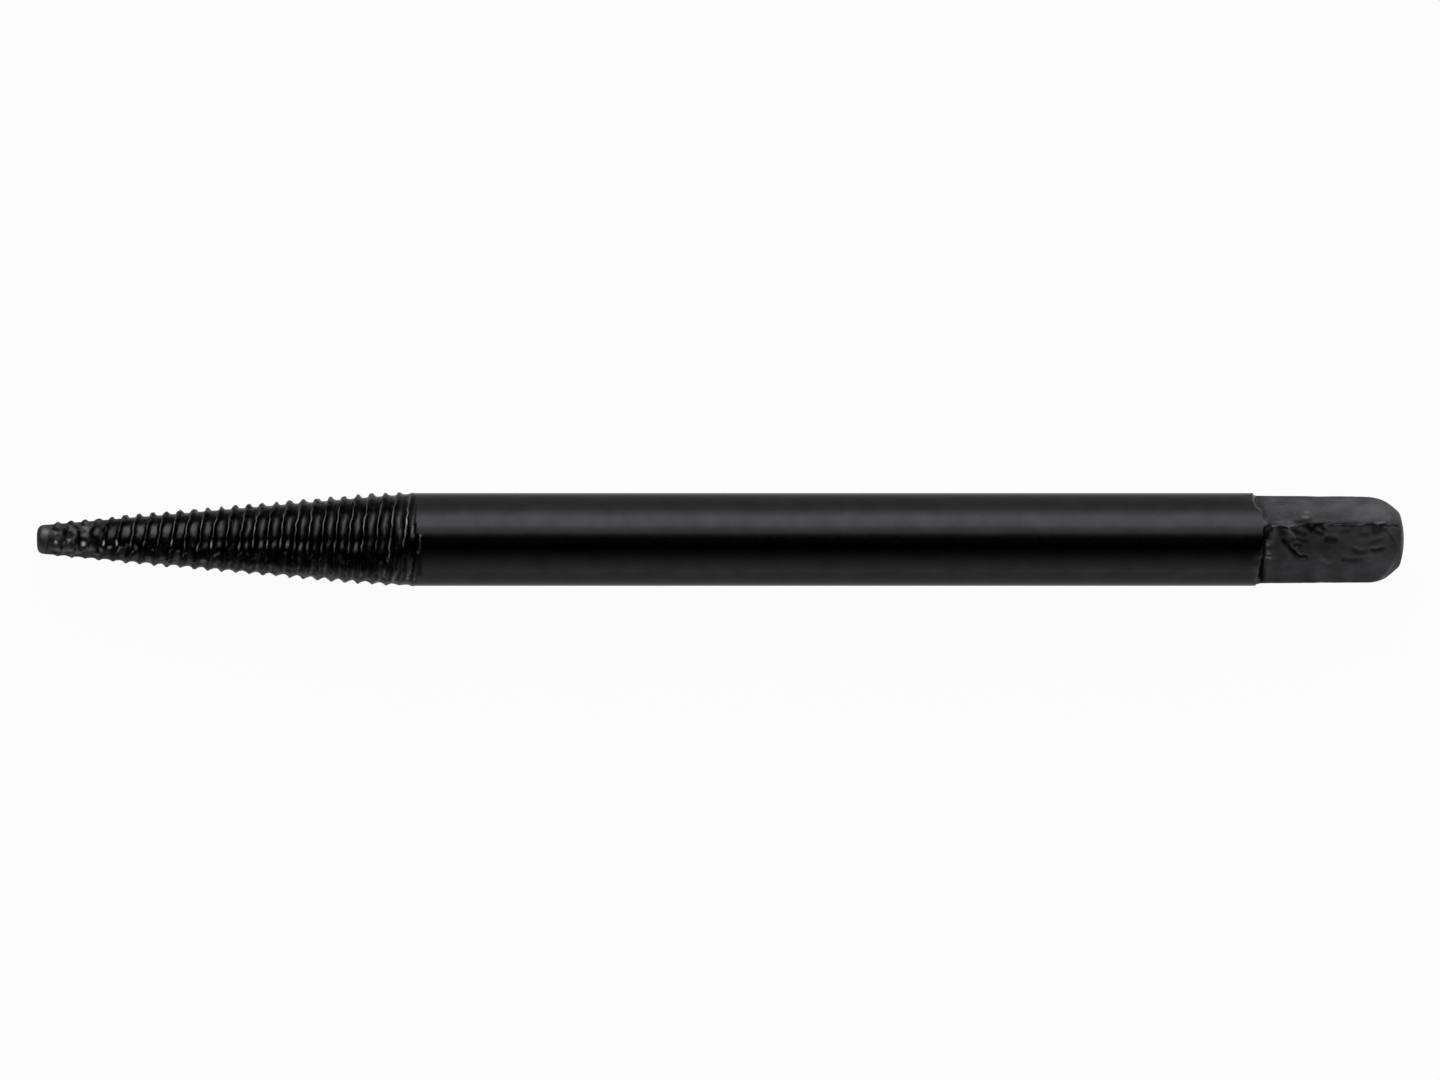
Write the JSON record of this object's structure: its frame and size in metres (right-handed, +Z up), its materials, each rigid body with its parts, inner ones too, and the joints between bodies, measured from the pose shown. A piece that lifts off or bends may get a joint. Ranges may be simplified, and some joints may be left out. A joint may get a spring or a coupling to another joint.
{
  "type": "screw extractor",
  "caption": "Slim straight screw extractor of blackened steel with a tapered left-hand thread at its tip and a drafted square drive for a tap wrench at its other end.",
  "frame": {"origin": "middle of the tool's length, on its axis", "axes": "+X along the tool from the threaded tip to the square end, +Y to the back and +Z up as it lies; the tool is round apart from the square, one corner of which points 20.2 degrees from +Z towards +Y"},
  "size_m": [0.05, 0.0034, 0.0034],
  "materials": {
    "blackened_steel": "satin"
  },
  "bodies": {
    "root": {"screw_extractor": "blackened_steel"}
  },
  "joints": []
}
